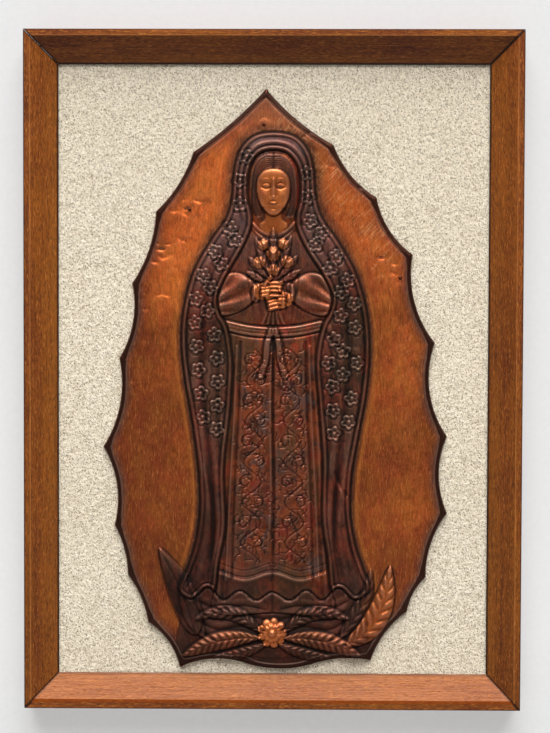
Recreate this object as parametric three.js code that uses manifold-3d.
// A framed copper repousse plaque. A hammered copper sheet in relief, with a scalloped edge,
// is folded over a plywood core and fixed to a stucco-coated board in a mitred wooden frame.
//
// Millimetres. X runs to the right, Z up, and the front looks along -Y. The origin is on the
// back face of the top rail, at its middle. Inside the picture group, x and z are measured
// from the middle of the frame, and y from the frame's back plane.

import * as THREE from 'three';
import { mergeVertices } from 'three/addons/utils/BufferGeometryUtils.js';
import Module from 'manifold-3d';

const wasm = await Module();
wasm.setup();

// Driving dimensions.
const PLATE_HEIGHT = 713.5;
const TOP_MARGIN = 31.4;       // from the plate's top corner up to the frame's sight edge
const BOTTOM_MARGIN = 7.1;
const SIDE_MARGIN = 52.05;
const FRAME_DEPTH = 40;
const RAIL_WIDTH = 40;
const FRONT_FLAT = 8;          // flat band along the rail's outer front edge
const SIGHT_DROP = 21;         // how far the sloping face falls back to the sight edge
const SIGHT_LIP = 2;           // thickness of the lip that holds the panel
const REBATE_WIDTH = 8;
const ARRIS = 0.8;             // radius worn onto the rail's front edges
const MITRE_GAP = 0.3;
const PANEL_PLAY = 0.5;        // free space around the panel in the rebate
const REST_GAP = 0.25;
const COAT_THICKNESS = 2.5;
const BOARD_THICKNESS = 6;
const CORE_THICKNESS = 5;
const CORE_INSET = 5.4;        // from the sheet's outline to the core's
const SHEET_THICKNESS = 1;
const RIM_WIDTH = 3.8;         // width of the turned-down rim
const RIM_CLEARANCE = 0.3;     // from the rim's edge to the stucco
const CLEARANCE = 0.3;         // around whatever sits in a hole
const SCREW_LENGTH = 12;
const BRAD_LENGTH = 20;
const BRAD_RADIUS = 0.6;
const HANGER_DROP = 184;       // from the middle of the top rail's back face to the hangers
const BUMPER_RADIUS = 5;
const BUMPER_THICKNESS = 4.5;
const BUMPER_FROM_END = 60;

// The plate's corners, clockwise from the top one, and how far the edge after each bows in.
// They, and all lines of the relief, are drawn at one size, which PLATE_HEIGHT then scales.
const CORNERS = [
  [-9.5, 344.6, 5], [73.8, 277.9, 7], [127, 213.5, 8], [171.7, 143.7, 12], [199.6, 35.1, 14],
  [215.2, -80.3, 10], [215.9, -175.3, 7], [189.9, -255.2, 4], [167, -297.8, 6], [122.3, -359.1, 4],
  [57, -362, -8], [-38, -362, 7], [-114.8, -368.9, 7], [-154.4, -312.5, 4], [-179.6, -253.6, 4],
  [-196.1, -191.7, 10], [-210, -94.1, 11], [-190.2, 15.1, 9], [-174.3, 107.8, 6.5], [-144.9, 196.2, 5.5],
  [-99, 269, 3.5],
];
const SCALLOP_STEPS = 5;
const PINS = [[-103, 198], [-12, 302], [156, 115]];
const CORE_SCREWS = [[-60, 150], [60, 150], [-90, -230], [90, -230]];

// Sizes and places that follow from them.
const extent = (values) => Math.max(...values) - Math.min(...values);
const PLATE_SCALE = PLATE_HEIGHT / extent(CORNERS.map(([, z]) => z));
const PLATE_WIDTH = PLATE_SCALE * extent(CORNERS.map(([x]) => x));
const SIGHT_WIDTH = PLATE_WIDTH + 2 * SIDE_MARGIN;
const SIGHT_HEIGHT = PLATE_HEIGHT + TOP_MARGIN + BOTTOM_MARGIN;
const PLATE_ZERO_Z = SIGHT_HEIGHT / 2 - TOP_MARGIN - PLATE_SCALE * CORNERS[0][1];
const FRAME_WIDTH = SIGHT_WIDTH + 2 * RAIL_WIDTH;
const FRAME_HEIGHT = SIGHT_HEIGHT + 2 * RAIL_WIDTH;
const FRONT_Y = -FRAME_DEPTH;
const SIGHT_Y = FRONT_Y + SIGHT_DROP;
const LEDGE_Y = SIGHT_Y + SIGHT_LIP;
const BACK_FACE_WIDTH = RAIL_WIDTH - REBATE_WIDTH;
const COAT_FRONT_Y = LEDGE_Y + REST_GAP;
const BOARD_FRONT_Y = COAT_FRONT_Y + COAT_THICKNESS;
const BOARD_BACK_Y = BOARD_FRONT_Y + BOARD_THICKNESS;
const PANEL_WIDTH = FRAME_WIDTH - 2 * (BACK_FACE_WIDTH + PANEL_PLAY);
const PANEL_HEIGHT = FRAME_HEIGHT - 2 * (BACK_FACE_WIDTH + PANEL_PLAY);
const CORE_FRONT_Y = COAT_FRONT_Y - CORE_THICKNESS;
const SHEET_BACK_Y = CORE_FRONT_Y - REST_GAP;
const SHEET_FRONT_Y = SHEET_BACK_Y - SHEET_THICKNESS;
const RIM_EDGE_Y = COAT_FRONT_Y - RIM_CLEARANCE;
const FRAME_MIDDLE_Z = -(FRAME_HEIGHT - BACK_FACE_WIDTH) / 2;

// Materials.
const finish = (color, roughness, metalness) =>
  new THREE.MeshStandardMaterial({ color, roughness, metalness });
const WOOD = () => finish(0x7c411f, 0.5, 0);
const STUCCO = () => finish(0xdccdb4, 0.95, 0);
const PLYWOOD = () => finish(0xb08a5c, 0.75, 0);
const COPPER = () => finish(0x9a5028, 0.38, 1);
const STEEL = () => finish(0x8d8f92, 0.35, 1);
const DARK_COPPER = () => finish(0x4a2a1a, 0.45, 1);
const FELT = () => finish(0x33302d, 0.95, 0);

// Solids and cuts.
function toSolid(geometry) {
  const bare = geometry.clone();
  bare.deleteAttribute('normal');
  bare.deleteAttribute('uv');
  const merged = mergeVertices(bare, 1e-4);
  return new wasm.Manifold(new wasm.Mesh({
    numProp: 3,
    vertProperties: new Float32Array(merged.getAttribute('position').array),
    triVerts: new Uint32Array(merged.getIndex().array),
  }));
}

function toGeometry(solid) {
  const mesh = solid.getMesh();
  const geometry = new THREE.BufferGeometry();
  geometry.setAttribute('position', new THREE.BufferAttribute(new Float32Array(mesh.vertProperties), 3));
  geometry.setIndex(new THREE.BufferAttribute(new Uint32Array(mesh.triVerts), 1));
  const faceted = geometry.toNonIndexed();
  faceted.computeVertexNormals();
  return faceted;
}

const join = (...geometries) => toGeometry(geometries.map(toSolid).reduce((a, b) => a.add(b)));
const cut = (geometry, tools) => toGeometry(tools.map(toSolid).reduce((a, b) => a.subtract(b), toSolid(geometry)));

const onPlate = (geometry, x, z) => geometry.translate(x * PLATE_SCALE, 0, z * PLATE_SCALE);

// A turned solid whose axis is Y: [radius, y] pairs from one end of the axis to the other.
function turned(profile, sides = 16) {
  const points = profile.map(([radius, y]) => new THREE.Vector2(radius, y));
  return new THREE.LatheGeometry(points, sides);
}

function rod(radius, fromY, toY, sides = 10) {
  return new THREE.CylinderGeometry(radius, radius, Math.abs(toY - fromY), sides)
    .translate(0, (fromY + toY) / 2, 0);
}

const clamp01 = (t) => Math.min(1, Math.max(0, t));
const roundEdge = (d, width) => Math.sqrt(1 - (1 - clamp01(d / width)) ** 2);
const smoothEdge = (d, width) => clamp01(d / width) ** 2 * (3 - 2 * clamp01(d / width));
const bump = (d, width) => Math.exp(-((d / width) ** 2));
const dome = (dx, dz) => Math.sqrt(clamp01(1 - dx * dx - dz * dz));

// Frame rails, in a frame of their own: X along the rail, Y as in the picture, and the outer
// edge at Z = 0 with the picture towards -Z.
function railProfile() {
  const shape = new THREE.Shape();
  shape.moveTo(0, 0);
  shape.lineTo(0, FRONT_Y + ARRIS);
  shape.absarc(ARRIS, FRONT_Y + ARRIS, ARRIS, Math.PI, 1.5 * Math.PI);
  shape.lineTo(FRONT_FLAT - ARRIS / 2, FRONT_Y);
  const fall = Math.atan2(SIGHT_DROP, RAIL_WIDTH - FRONT_FLAT);
  shape.quadraticCurveTo(FRONT_FLAT, FRONT_Y,
    FRONT_FLAT + ARRIS / 2 * Math.cos(fall), FRONT_Y + ARRIS / 2 * Math.sin(fall));
  shape.lineTo(RAIL_WIDTH, SIGHT_Y);
  shape.lineTo(RAIL_WIDTH, LEDGE_Y);
  shape.lineTo(BACK_FACE_WIDTH, LEDGE_Y);
  shape.lineTo(BACK_FACE_WIDTH, 0);
  shape.closePath();
  return shape;
}

function railBlank(length) {
  const blank = new THREE.ExtrudeGeometry(railProfile(), { depth: length, bevelEnabled: false, curveSegments: 4 });
  blank.rotateY(Math.PI / 2);
  blank.translate(-length / 2, 0, 0);
  const position = blank.getAttribute('position');
  const drawIn = MITRE_GAP / 2 * Math.SQRT2;
  for (let i = 0; i < position.count; i += 1) {
    const inward = -position.getZ(i);
    position.setX(i, Math.sign(position.getX(i)) * (length / 2 - inward - drawIn));
  }
  return blank;
}

const BRAD_Y = BOARD_BACK_Y + CLEARANCE + BRAD_RADIUS;
const BRAD_IN_RAIL = BRAD_LENGTH / 2;

function bradGeometry(radius, length) {
  return new THREE.CylinderGeometry(radius, radius, length, 10).rotateX(Math.PI / 2);
}

function bradHole(x) {
  const depth = BRAD_IN_RAIL + CLEARANCE;
  return bradGeometry(BRAD_RADIUS + CLEARANCE, depth + 1)
    .translate(x, BRAD_Y, -BACK_FACE_WIDTH + (depth - 1) / 2);
}

// Wavy steel strips driven into the back of each mitre.
const NAIL_BENDS = 9;
const NAIL_PITCH = 2.2;
const NAIL_WAVE = 0.9;
const NAIL_THICKNESS = 0.8;
const NAIL_HEIGHT = 12;

function mitreNail(extra) {
  const half = NAIL_BENDS * NAIL_PITCH / 2;
  const edge = (side) => {
    const points = [];
    for (let i = 0; i <= NAIL_BENDS; i += 1) {
      const offset = (i % 2 ? 1 : -1) * NAIL_WAVE + side * (NAIL_THICKNESS / 2 + extra * 1.3);
      const end = i === 0 ? -extra : i === NAIL_BENDS ? extra : 0;
      points.push(new THREE.Vector2(i * NAIL_PITCH - half + end, offset));
    }
    return points;
  };
  const shape = new THREE.Shape([...edge(-1), ...edge(1).reverse()]);
  const height = NAIL_HEIGHT + extra;
  return new THREE.ExtrudeGeometry(shape, { depth: height + extra, bevelEnabled: false })
    .rotateX(Math.PI / 2)
    .translate(0, extra, 0);
}

const NAIL_INSET = BACK_FACE_WIDTH / 2;

// D-ring hangers on the side rails: the strap lies across the rail, and its ring lies inwards.
const STRAP_LENGTH = 19.5;
const STRAP_WIDTH = 10;
const STRAP_THICKNESS = 0.9;
const STRAP_START = 4.5;       // from the rail's outer edge
const RING_WIRE = 1;
const RING_PLAY = 0.1;
const RING_HALF = 6.4;
const RING_REACH = 15;
const CURL_RADIUS = RING_WIRE + RING_PLAY + STRAP_THICKNESS;
const RING_AXIS_Y = CURL_RADIUS;
const RING_AXIS_IN = STRAP_START + STRAP_LENGTH;
const HANGER_SCREW_RADIUS = 1.5;
const HANGER_SCREW_LENGTH = 14;
const HANGER_SCREWS_AT = [4.5, 12.5];

function hangerStrap() {
  const shape = new THREE.Shape();
  const open = 1.05 * Math.PI;
  shape.moveTo(0, 0);
  shape.lineTo(STRAP_LENGTH, 0);
  shape.absarc(STRAP_LENGTH, CURL_RADIUS, CURL_RADIUS, -Math.PI / 2, open, false);
  shape.absarc(STRAP_LENGTH, CURL_RADIUS, RING_WIRE + RING_PLAY, open, -Math.PI / 2, true);
  shape.lineTo(0, STRAP_THICKNESS);
  shape.closePath();
  const strap = new THREE.ExtrudeGeometry(shape, { depth: STRAP_WIDTH, bevelEnabled: false, curveSegments: 14 })
    .translate(0, 0, -STRAP_WIDTH / 2)
    .rotateY(Math.PI / 2)
    .translate(0, 0, -STRAP_START);
  return cut(strap, HANGER_SCREWS_AT.map((at) =>
    rod(HANGER_SCREW_RADIUS + CLEARANCE, -1, 1 + STRAP_THICKNESS).translate(0, 0, -STRAP_START - at)));
}

// The ring, from its bar's axis: the bar lies along X, and the loop reaches towards -Z.
function hangerRing() {
  const bar = new THREE.CylinderGeometry(RING_WIRE, RING_WIRE, 2 * RING_HALF, 12).rotateZ(Math.PI / 2);
  const bend = RING_REACH - RING_WIRE - RING_HALF;
  const steps = 10;
  const round = (k) => new THREE.Vector3(
    -RING_HALF * Math.cos(Math.PI * k / steps), 0, -bend - RING_HALF * Math.sin(Math.PI * k / steps));
  const loop = [new THREE.Vector3(-RING_HALF, 0, 0)];
  for (let k = 0; k <= steps; k += 1) {
    loop.push(round(k));
  }
  loop.push(new THREE.Vector3(RING_HALF, 0, 0));
  const wire = new THREE.Shape();
  wire.absarc(0, 0, RING_WIRE, 0, 2 * Math.PI);
  const bow = new THREE.ExtrudeGeometry(wire, {
    steps: 18, curveSegments: 4, bevelEnabled: false,
    extrudePath: new THREE.CatmullRomCurve3(loop, false, 'centripetal'),
  });
  const corners = [-1, 1].map((side) =>
    new THREE.SphereGeometry(RING_WIRE, 8, 6).translate(side * RING_HALF, 0, 0));
  return join(bar, bow, ...corners);
}

function hangerScrew() {
  const head = STRAP_THICKNESS;
  return turned([
    [0, -HANGER_SCREW_LENGTH], [HANGER_SCREW_RADIUS * 0.5, 2 - HANGER_SCREW_LENGTH],
    [HANGER_SCREW_RADIUS, 5 - HANGER_SCREW_LENGTH], [HANGER_SCREW_RADIUS, head],
    [2.9, head], [2.8, head + 0.7], [1.9, head + 1.25], [0, head + 1.45],
  ], 10);
}

function hangerScrewHole(x, at) {
  return rod(HANGER_SCREW_RADIUS + CLEARANCE, -HANGER_SCREW_LENGTH - CLEARANCE, 1)
    .translate(x, 0, -STRAP_START - at);
}

function rail(length, bradsAt, hangerAt) {
  const tools = bradsAt.map(bradHole);
  for (const side of [-1, 1]) {
    tools.push(mitreNail(CLEARANCE)
      .rotateY(side * Math.PI / 4)
      .translate(side * (length / 2 - NAIL_INSET), 0, -NAIL_INSET));
  }
  if (hangerAt !== null) {
    tools.push(...HANGER_SCREWS_AT.map((at) => hangerScrewHole(hangerAt, at)));
  }
  return cut(railBlank(length), tools);
}

// The plate's outline, as points on the arcs between its corners.
function plateOutline() {
  const points = [];
  CORNERS.forEach(([x, z, bow], i) => {
    const [nextX, nextZ] = CORNERS[(i + 1) % CORNERS.length];
    const from = new THREE.Vector2(x, z).multiplyScalar(PLATE_SCALE);
    const along = new THREE.Vector2(nextX - x, nextZ - z).multiplyScalar(PLATE_SCALE);
    const chord = along.length();
    along.normalize();
    const inward = new THREE.Vector2(along.y, -along.x);
    const rise = Math.abs(bow) * PLATE_SCALE;
    const radius = (chord * chord / 4 + rise * rise) / (2 * rise);
    const half = Math.asin(chord / 2 / radius);
    for (let k = 0; k < SCALLOP_STEPS; k += 1) {
      const angle = (2 * k / SCALLOP_STEPS - 1) * half;
      const u = radius * Math.sin(angle) + chord / 2;
      const v = (radius * Math.cos(angle) - radius + rise) * Math.sign(bow);
      points.push(from.clone().addScaledVector(along, u).addScaledVector(inward, v));
    }
  });
  return points;
}

function insetOutline(points, distance) {
  return points.map((point, i) => {
    const before = point.clone().sub(points.at(i - 1)).normalize();
    const after = points[(i + 1) % points.length].clone().sub(point).normalize();
    const inward = new THREE.Vector2(before.y + after.y, -before.x - after.x).normalize();
    const square = new THREE.Vector2(before.y, -before.x);
    return point.clone().addScaledVector(inward, distance / inward.dot(square));
  });
}

// A solid through a stack of outlines: [inset, y] pairs from the back to the front.
function stackedOutline(levels) {
  const outline = plateOutline();
  const count = outline.length;
  const positions = [];
  for (const [inset, y] of levels) {
    for (const point of insetOutline(outline, inset)) {
      positions.push(point.x, y, point.y);
    }
  }
  const index = [];
  for (let k = 0; k + 1 < levels.length; k += 1) {
    for (let i = 0; i < count; i += 1) {
      const a = k * count + i;
      const b = k * count + (i + 1) % count;
      index.push(a, b + count, b, a, a + count, b + count);
    }
  }
  const last = (levels.length - 1) * count;
  const caps = THREE.ShapeUtils.triangulateShape(insetOutline(outline, levels[0][0]), []);
  for (const [a, b, c] of caps) {
    index.push(a, c, b);
  }
  for (const [a, b, c] of THREE.ShapeUtils.triangulateShape(insetOutline(outline, levels.at(-1)[0]), [])) {
    index.push(last + a, last + b, last + c);
  }
  const geometry = new THREE.BufferGeometry();
  geometry.setAttribute('position', new THREE.Float32BufferAttribute(positions, 3));
  geometry.setIndex(index);
  return geometry;
}

// The relief: the height in millimetres over the plate's face, from lines drawn on the plate.
class Line {
  constructor(points, closed = false) {
    const curve = new THREE.CatmullRomCurve3(points.map(([x, z]) => new THREE.Vector3(x, 0, z)), closed, 'catmullrom');
    this.points = curve.getPoints(points.length * 4).map((point) => [point.x, point.z]);
    this.lengths = this.points.slice(1).map(([x, z], i) => Math.hypot(x - this.points[i][0], z - this.points[i][1]));
    this.total = this.lengths.reduce((a, b) => a + b, 0);
  }

  // Distance to the line, and the share of its length at the nearest point.
  nearest(x, z) {
    let distance = Infinity;
    let share = 0;
    let run = 0;
    this.lengths.forEach((length, i) => {
      const [ax, az] = this.points[i];
      const [bx, bz] = this.points[i + 1];
      const t = clamp01(((x - ax) * (bx - ax) + (z - az) * (bz - az)) / Math.max(length * length, 1e-9));
      const d = Math.hypot(x - ax - t * (bx - ax), z - az - t * (bz - az));
      if (d < distance) {
        distance = d;
        share = (run + t * length) / this.total;
      }
      run += length;
    });
    return { distance, share };
  }

  crossings(z) {
    const found = [];
    for (let i = 0; i + 1 < this.points.length; i += 1) {
      const [ax, az] = this.points[i];
      const [bx, bz] = this.points[i + 1];
      if ((az > z) !== (bz > z)) {
        found.push(ax + (z - az) / (bz - az) * (bx - ax));
      }
    }
    return found;
  }

  // Distance to a closed line, positive inside it.
  inside(x, z) {
    const within = this.crossings(z).filter((at) => at > x).length % 2 === 1;
    return (within ? 1 : -1) * this.nearest(x, z).distance;
  }
}

const mirrored = (points) => points.map(([x, z]) => [-x, z]);

const MANTLE = new Line([
  [0, 293], [-25, 288], [-42, 270], [-49, 243], [-51, 215], [-58, 188], [-77, 160], [-98, 122], [-110, 78],
  [-113, 34], [-108, -14], [-99, -66], [-92, -120], [-90, -170], [-96, -214], [-108, -250], [-117, -270],
  [-98, -282], [-80, -268], [-61, -284], [-40, -272], [-20, -284], [0, -274], [22, -284], [42, -271], [62, -284],
  [82, -268], [102, -283], [121, -268], [113, -246], [102, -212], [96, -172], [98, -126], [106, -78],
  [115, -28], [119, 26], [115, 74], [102, 120], [80, 159], [60, 188], [52, 215], [50, 243], [43, 270], [26, 288],
], true);
const OPENING = new Line([
  [0, 271], [-17, 267], [-28, 252], [-32, 232], [-31, 208], [-27, 190], [-29, 172], [-41, 146], [-57, 118],
  [-68, 92], [-66, 72], [-56, 52], [-50, 10], [-53, -50], [-60, -120], [-58, -190], [-66, -236], [-63, -262],
  [-36, -271], [0, -266], [36, -271], [66, -262], [68, -232], [61, -180], [62, -110], [57, -44], [53, 12],
  [60, 54], [70, 74], [72, 94], [60, 120], [43, 146], [30, 172], [28, 190], [32, 208], [33, 232], [29, 252],
  [17, 267],
], true);
const FACE = new Line([
  [0, 248], [-12, 245], [-19.5, 235], [-20.5, 221], [-17.5, 207], [-10.5, 196], [0, 190.6],
  [10.5, 196], [17.5, 207], [20.5, 221], [19.5, 235], [12, 245],
], true);
const HAIR = new Line([
  [0, 266], [-16, 262], [-26, 249], [-29, 230], [-28, 210], [-24, 194], [-17, 187], [0, 196], [17, 187],
  [24, 194], [28, 210], [29, 230], [26, 249], [16, 262],
], true);
const SLEEVE_POINTS = [
  [-76, 102], [-62, 118], [-44, 121], [-28, 114], [-21, 104], [-22, 89], [-31, 79], [-48, 70], [-66, 68], [-77, 80],
];
const SLEEVES = [new Line(SLEEVE_POINTS, true), new Line(mirrored(SLEEVE_POINTS), true)];
const BASE_POINTS = [
  [0, -268], [-40, -266], [-84, -262], [-104, -276], [-112, -300], [-118, -330], [-116, -354], [-98, -360],
  [-70, -352], [-38, -352], [0, -356],
];
const BASE = new Line([...BASE_POINTS, ...mirrored(BASE_POINTS).slice(1, -1).reverse()], true);

// Hanging folds of the mantle: height, width and line.
const FOLDS = [
  [2, 5.5, [[-55, 176], [-77, 138], [-94, 92], [-99, 36], [-95, -30], [-86, -100], [-82, -170], [-88, -226], [-99, -266]]],
  [-1.9, 3, [[-60, 152], [-76, 112], [-86, 60], [-88, 0], [-82, -70], [-75, -140], [-74, -200], [-82, -262]]],
  [1.7, 4.6, [[-76, 70], [-79, 10], [-76, -60], [-69, -130], [-66, -196], [-72, -262]]],
  [2, 5.5, [[56, 178], [76, 142], [95, 100], [104, 44], [103, -14], [95, -76], [88, -140], [90, -206], [103, -262]]],
  [-1.9, 3, [[62, 150], [80, 112], [91, 62], [93, 4], [87, -60], [79, -128], [78, -196], [88, -262]]],
  [1.7, 4.6, [[78, 66], [84, 14], [81, -50], [74, -112], [70, -180], [77, -258]]],
].map(([height, width, points]) => ({ height, width, line: new Line(points) }));

// Leaves: half width, height, where along its length it is widest, and its line on the right.
const LEAVES = [
  [15, 4.2, 0.40, [[92, -338], [120, -318], [138, -284], [146, -240]]],
  [9, 3.2, 0.42, [[84, -330], [104, -300], [118, -272], [122, -244]]],
  [9.5, 4, 0.45, [[14, -322], [42, -296], [70, -292], [96, -300]]],
  [11.5, 4.6, 0.5, [[14, -330], [46, -328], [78, -336], [112, -352]]],
].flatMap(([width, height, widest, points]) => [points, mirrored(points)].map((line) =>
  ({ width, height, widest, line: new Line(line) })));

// Full flowers: middle, radius, height.
const ROSETTES = [
  [-12, 155, 7.5, 3.6], [12, 156, 7.5, 3.6], [-17, 133, 8.2, 3.6], [17, 134, 8.2, 3.6], [0, 144, 9.8, 3.6],
  [0, 124, 7.8, 3.6], [0, -324, 19, 6],
];

// Fingers: ends, radius and height, of the upper hand and then of the lower one.
const FINGERS = [0, 1, 2, 3].flatMap((k) => [
  { from: [-13, 106.5 - 4.6 * k], to: [10.5 - 1.4 * k, 108 - 4.9 * k], radius: 2.6, height: 2.8 },
  { from: [13, 92 - 4.3 * k], to: [-7.5 + 1.2 * k, 89.5 - 4.5 * k], radius: 2.5, height: 2.6 },
]);

const BODY_RISE = 3.6;
const MANTLE_RISE = 2.2;
const PLEAT_PITCH = 10.5;
const flare = (z) => 1 + 0.0011 * (60 - z);

function leafHeight({ width, height, widest, line }, x, z) {
  const { distance, share } = line.nearest(x, z);
  const along = share ** (Math.log(0.5) / Math.log(widest));
  const half = width * Math.sin(Math.PI * along) ** 0.75;
  return distance < half ? height * Math.sqrt(1 - (distance / half) ** 2) : 0;
}

function faceHeight(x, z, inside) {
  const spot = (cx, cz, rx, rz, height) => height * Math.exp(-(((x - cx) / rx) ** 2 + ((z - cz) / rz) ** 2));
  let h = 1.2 * roundEdge(inside, 5) + 3.4 * dome(x / 25, (z - 219) / 36);
  for (const side of [-1, 1]) {
    h += spot(side * 8.4, 226.5, 6, 4, -1.7) + spot(side * 8.4, 226.8, 4, 2.3, 1.75);
    h += spot(side * 11, 213.5, 6, 6, 0.7);
  }
  for (let k = 0; k <= 8; k += 1) {
    h += spot(0, 234 - 21.5 * k / 8, 1.9 + k / 8, 2.2, 0.62 + 0.5 * k / 8);
  }
  return h + spot(0, 204.5, 5, 2, 0.8) + spot(0, 194.8, 4.6, 3.2, 0.8);
}

function figureHeight(x, z) {
  const inMantle = MANTLE.inside(x, z);
  if (inMantle <= 0) {
    return 0;
  }
  const inOpening = OPENING.inside(x, z);
  let h = BODY_RISE * roundEdge(inMantle, 60) + 1.2 * roundEdge(inMantle, 4);
  h += 2.8 * dome(x / 52, (z - 232) / 66) * smoothEdge(inMantle, 2);
  for (const side of [-1, 1]) {
    h += 2.2 * smoothEdge(1 - ((x - side * 80) / 27) ** 2 - ((z - 92) / 62) ** 2, 1);
  }
  if (inOpening < 0) {
    const edge = Math.min(inMantle, -inOpening);
    h += MANTLE_RISE * roundEdge(edge, 4) + 1.3 * bump(-inOpening - 2.6, 1.5) + bump(inMantle - 3, 1.5);
    for (const { height, width, line } of FOLDS) {
      h += height * bump(line.nearest(x, z).distance, width) * smoothEdge(edge, 5);
    }
    return h;
  }
  const gown = smoothEdge(inOpening, 2);
  const skirt = smoothEdge(58 - z, 40) * gown;
  h += 1.05 * skirt * Math.cos(2 * Math.PI * x / (PLEAT_PITCH * flare(z)));
  h += 1.3 * skirt * clamp01(1 - (x / (46 * flare(z))) ** 2);
  h += 1.6 * smoothEdge(176 - z, 14) * smoothEdge(z - 56, 12) * gown * clamp01(1 - (x / 40) ** 2);
  h += 1.4 * gown * smoothEdge(6.5 - Math.abs(z - 50), 2);
  h += 1.8 * roundEdge(HAIR.inside(x, z), 7);
  const inFace = FACE.inside(x, z);
  return inFace > 0 ? h + faceHeight(x, z, inFace) : h;
}

function reliefHeight(x, z) {
  const figure = figureHeight(x, z);
  let h = figure > 0 ? figure : 2.6 * roundEdge(BASE.inside(x, z), 16);
  for (const sleeve of SLEEVES) {
    h += 4.6 * roundEdge(sleeve.inside(x, z), 9);
  }
  for (const side of [-1, 1]) {
    h += 3.4 * dome((x - side * 14) / 11, (z - (side < 0 ? 98 : 88)) / 10);
    h += 2.4 * dome((x - side * 21) / 4.5, (z - 96.5) / 10);
  }
  for (const { from, to, radius, height } of FINGERS) {
    const t = clamp01(((x - from[0]) * (to[0] - from[0]) + (z - from[1]) * (to[1] - from[1]))
      / ((to[0] - from[0]) ** 2 + (to[1] - from[1]) ** 2));
    h += height * dome(Math.hypot(x - from[0] - t * (to[0] - from[0]), z - from[1] - t * (to[1] - from[1])) / radius, 0);
  }
  for (const [cx, cz, radius, height] of ROSETTES) {
    h += height * dome((x - cx) / radius, (z - cz) / radius);
  }
  for (const leaf of LEAVES) {
    h += leafHeight(leaf, x, z);
  }
  return Math.max(0, h);
}

// The relief's grid follows the mantle's and the opening's edges, and the skirt's pleats.
const GRID_HALF_WIDTH = 230;
const OPENING_COLUMNS = 15;
const spread = (from, to, step) => {
  const count = Math.round(Math.abs(to - from) / step);
  return Array.from({ length: count }, (_, i) => from + (to - from) * i / count);
};
const ROWS = [
  -390, ...spread(-362, -262, 7.7), ...spread(-262, 40, 18), ...spread(40, 64, 6), ...spread(64, 122, 4.8),
  ...spread(122, 176, 6), ...spread(176, 190, 7), ...spread(190, 250, 4), ...spread(250, 294, 5.5), 294, 370,
];

function columnsAt(z) {
  const row = Math.min(284, Math.max(-262, z));
  const mantle = MANTLE.crossings(row);
  const opening = OPENING.crossings(Math.min(264, Math.max(-255, row)));
  const left = Math.min(...mantle, -12);
  const right = Math.max(...mantle, 12);
  const openLeft = Math.min(...opening);
  const openRight = Math.max(...opening);
  const half = (OPENING_COLUMNS - 1) / 2;
  const pleat = z < 45 ? PLEAT_PITCH / 2 * flare(Math.max(z, -262)) : null;
  const middle = Array.from({ length: OPENING_COLUMNS }, (_, i) => {
    const t = (i - half) / half;
    const even = t < 0 ? -t * (openLeft + 1.4) : t * (openRight - 1.4);
    return pleat && Math.abs((i - half) * pleat) < Math.abs(even) + 4 ? (i - half) * pleat : even;
  });
  const flank = (outer, inner) => [
    ...[0.12, 0.36, 0.64, 0.86].map((t) => outer + (inner - outer) * t), inner,
  ];
  const outside = [34, 23, 12, 1];
  return [
    -GRID_HALF_WIDTH, ...outside.map((d) => left - d), ...flank(left, openLeft - 0.6),
    ...middle,
    ...flank(right, openRight + 0.6).reverse(), ...outside.map((d) => right + d).reverse(), GRID_HALF_WIDTH,
  ];
}

// A block under the relief: its front follows heightAt and its back is flat at backY. The rows
// and columns are drawn lines of the plate.
function reliefBlock(rows, columns, heightAt, frontY, backY) {
  const grid = rows.map((z) => columns(z));
  const nx = grid[0].length - 1;
  const nz = rows.length - 1;
  const block = new THREE.BoxGeometry(2, 2, 2, nx, 1, nz);
  const position = block.getAttribute('position');
  for (let v = 0; v < position.count; v += 1) {
    const i = Math.round((position.getX(v) + 1) / 2 * nx);
    const j = Math.round((position.getZ(v) + 1) / 2 * nz);
    const x = grid[j][i];
    const z = rows[j];
    const front = position.getY(v) < 0;
    position.setXYZ(v, x * PLATE_SCALE, front ? frontY - heightAt(x, z) * PLATE_SCALE : backY, z * PLATE_SCALE);
  }
  return block;
}

// The hollow behind the relief stays under the lowest relief within a cell of its own grid.
const HOLLOW_CELL = 15;
const HOLLOW_MARGIN = 0.5;

function hollowHeight(x, z) {
  let least = Infinity;
  const tries = 3;
  for (let i = -tries; i <= tries; i += 1) {
    for (let j = -tries; j <= tries; j += 1) {
      const reach = HOLLOW_CELL * 1.1 / tries;
      least = Math.min(least, reliefHeight(x + i * reach, z + j * reach));
    }
  }
  return Math.max(0, least - HOLLOW_MARGIN);
}

function copperPlaque() {
  const above = SHEET_FRONT_Y - 30;
  const outside = toSolid(reliefBlock(ROWS, columnsAt, reliefHeight, SHEET_FRONT_Y, RIM_EDGE_Y + 2))
    .intersect(toSolid(stackedOutline([
      [0, RIM_EDGE_Y], [0.9, (RIM_EDGE_Y + 2 * SHEET_FRONT_Y) / 3], [RIM_WIDTH, SHEET_FRONT_Y],
      [RIM_WIDTH + 0.1, above],
    ])));
  const inner = SHEET_THICKNESS;
  const coarseRows = [-380, ...spread(-342, 288, HOLLOW_CELL), 288, 365];
  const coarseColumns = () => [-225, ...spread(-126, 126, HOLLOW_CELL), 126, 225];
  const inside = toSolid(reliefBlock(coarseRows, coarseColumns, hollowHeight, SHEET_BACK_Y, RIM_EDGE_Y + 4))
    .intersect(toSolid(stackedOutline([
      [inner, RIM_EDGE_Y + 1], [inner + 0.9, (RIM_EDGE_Y + 2 * SHEET_BACK_Y) / 3],
      [RIM_WIDTH + inner, SHEET_BACK_Y], [RIM_WIDTH + inner + 0.1, above],
    ])));
  const holes = PINS.map(([x, z]) =>
    toSolid(onPlate(rod(PIN_RADIUS + CLEARANCE, SHEET_FRONT_Y - 2, RIM_EDGE_Y), x, z)));
  return toGeometry(holes.reduce((sheet, hole) => sheet.subtract(hole), outside.subtract(inside)));
}

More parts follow.
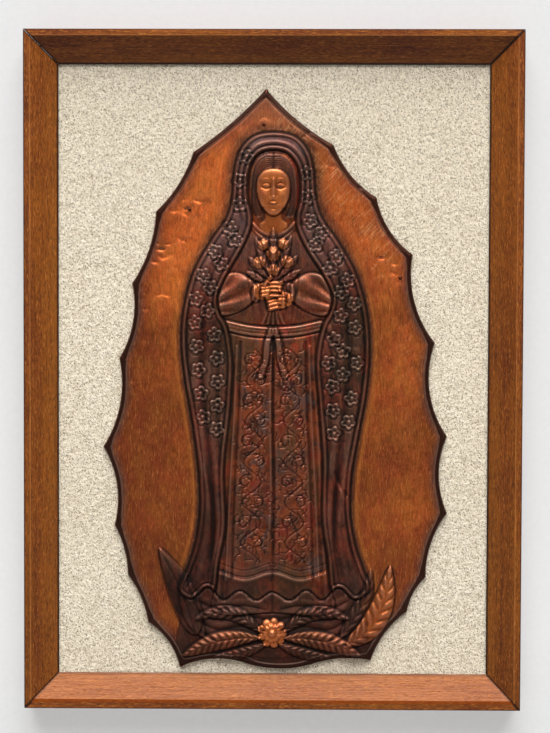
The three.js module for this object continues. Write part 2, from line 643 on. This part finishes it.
// Pins through the sheet into the core, and screws from the back into the core.
const PIN_RADIUS = 0.8;
const PIN_HEAD_Y = SHEET_FRONT_Y - CLEARANCE;
const PIN_TIP_Y = COAT_FRONT_Y - 1;
const SCREW_RADIUS = 1.6;
const SCREW_HEAD_RADIUS = 3.4;
const SCREW_HEAD_DEPTH = 2.2;
const SCREW_TIP_Y = BOARD_BACK_Y - SCREW_LENGTH;

const pinGeometry = () => turned([
  [0, PIN_HEAD_Y - 1.1], [1.2, PIN_HEAD_Y - 0.9], [2.1, PIN_HEAD_Y - 0.35], [2.3, PIN_HEAD_Y],
  [PIN_RADIUS, PIN_HEAD_Y], [PIN_RADIUS, PIN_TIP_Y - 1.5], [0, PIN_TIP_Y],
], 10);

const screwGeometry = () => turned([
  [0, SCREW_TIP_Y], [SCREW_RADIUS * 0.6, SCREW_TIP_Y + 2], [SCREW_RADIUS, SCREW_TIP_Y + 4],
  [SCREW_RADIUS, BOARD_BACK_Y - SCREW_HEAD_DEPTH], [SCREW_HEAD_RADIUS, BOARD_BACK_Y - 0.2],
  [SCREW_HEAD_RADIUS, BOARD_BACK_Y], [0, BOARD_BACK_Y],
], 12);

const screwHole = ([x, z]) => onPlate(turned([
  [0, SCREW_TIP_Y - CLEARANCE], [SCREW_RADIUS + CLEARANCE, SCREW_TIP_Y - CLEARANCE],
  [SCREW_RADIUS + CLEARANCE, BOARD_BACK_Y - SCREW_HEAD_DEPTH - 0.1],
  [SCREW_HEAD_RADIUS + CLEARANCE, BOARD_BACK_Y - 0.4], [SCREW_HEAD_RADIUS + CLEARANCE, BOARD_BACK_Y + 1],
  [0, BOARD_BACK_Y + 1],
], 12), x, z);

function panel(thickness, backY) {
  return cut(new THREE.BoxGeometry(PANEL_WIDTH, thickness, PANEL_HEIGHT).translate(0, backY - thickness / 2, 0),
    CORE_SCREWS.map((place) => screwHole(place).translate(0, 0, PLATE_ZERO_Z)));
}

function plaqueCore() {
  const pinHoles = PINS.map(([x, z]) =>
    onPlate(rod(PIN_RADIUS + CLEARANCE, CORE_FRONT_Y - 1, PIN_TIP_Y + CLEARANCE), x, z));
  return cut(stackedOutline([[CORE_INSET, COAT_FRONT_Y], [CORE_INSET, CORE_FRONT_Y]]),
    [...pinHoles, ...CORE_SCREWS.map(screwHole)]);
}

// The object.
function piece(name, geometry, material, parent, x = 0, y = 0, z = 0) {
  const mesh = new THREE.Mesh(geometry, material);
  mesh.name = name;
  mesh.position.set(x, y, z);
  parent.add(mesh);
  return mesh;
}

const plaque = new THREE.Group();
const picture = new THREE.Group();
picture.position.z = FRAME_MIDDLE_Z;
plaque.add(picture);

// Each rail carries its brads and hardware, and is turned as a whole into its place.
const HANGER_Z = FRAME_HEIGHT / 2 - BACK_FACE_WIDTH / 2 - HANGER_DROP;
const SIDES = [
  { name: 'top', length: FRAME_WIDTH, turn: 0, x: 0, z: FRAME_HEIGHT / 2 },
  { name: 'bottom', length: FRAME_WIDTH, turn: Math.PI, x: 0, z: -FRAME_HEIGHT / 2 },
  { name: 'left', length: FRAME_HEIGHT, turn: -Math.PI / 2, x: -FRAME_WIDTH / 2, z: 0, hanger: HANGER_Z },
  { name: 'right', length: FRAME_HEIGHT, turn: Math.PI / 2, x: FRAME_WIDTH / 2, z: 0, hanger: -HANGER_Z },
];
for (const { name, length, turn, x, z, hanger = null } of SIDES) {
  const side = new THREE.Group();
  side.position.set(x, 0, z);
  side.rotation.y = turn;
  picture.add(side);
  const bradsAt = [-length / 4, length / 4];
  piece(`frame_rail_${name}`, rail(length, bradsAt, hanger), WOOD(), side);
  bradsAt.forEach((at, i) => piece(`board_brad_${name}_${i + 1}`, bradGeometry(BRAD_RADIUS, BRAD_LENGTH), STEEL(),
    side, at, BRAD_Y, -BACK_FACE_WIDTH));
  if (hanger !== null) {
    piece(`hanger_strap_${name}`, hangerStrap(), STEEL(), side, hanger);
    piece(`hanger_ring_${name}`, hangerRing(), STEEL(), side, hanger, RING_AXIS_Y, -RING_AXIS_IN);
    HANGER_SCREWS_AT.forEach((at, i) => piece(`hanger_screw_${name}_${i + 1}`, hangerScrew(), STEEL(),
      side, hanger, 0, -STRAP_START - at));
  }
  if (name === 'bottom') {
    for (const [i, end] of [1, -1].entries()) {
      piece(`wall_bumper_${['left', 'right'][i]}`, rod(BUMPER_RADIUS, 0, BUMPER_THICKNESS, 24), FELT(),
        side, end * (length / 2 - BUMPER_FROM_END), 0, -BACK_FACE_WIDTH / 2);
    }
  }
}
for (const [v, vertical] of ['bottom', 'top'].entries()) {
  for (const [h, horizontal] of ['left', 'right'].entries()) {
    const sx = 2 * h - 1;
    const sz = 2 * v - 1;
    const nail = piece(`mitre_nail_${vertical}_${horizontal}`, mitreNail(0), STEEL(), picture,
      sx * (FRAME_WIDTH / 2 - NAIL_INSET), 0, sz * (FRAME_HEIGHT / 2 - NAIL_INSET));
    nail.rotation.y = sx * sz * Math.PI / 4;
  }
}

piece('backing_board', panel(BOARD_THICKNESS, BOARD_BACK_Y), PLYWOOD(), picture);
piece('stucco_coat', panel(COAT_THICKNESS, BOARD_FRONT_Y), STUCCO(), picture);

const plate = new THREE.Group();
plate.position.z = PLATE_ZERO_Z;
picture.add(plate);
piece('plaque_core', plaqueCore(), PLYWOOD(), plate);
piece('copper_plaque', copperPlaque(), COPPER(), plate);
PINS.forEach(([x, z], i) => piece(`plaque_pin_${i + 1}`, onPlate(pinGeometry(), x, z), DARK_COPPER(), plate));
CORE_SCREWS.forEach(([x, z], i) => piece(`core_screw_${i + 1}`, onPlate(screwGeometry(), x, z), STEEL(), plate));

export default plaque;
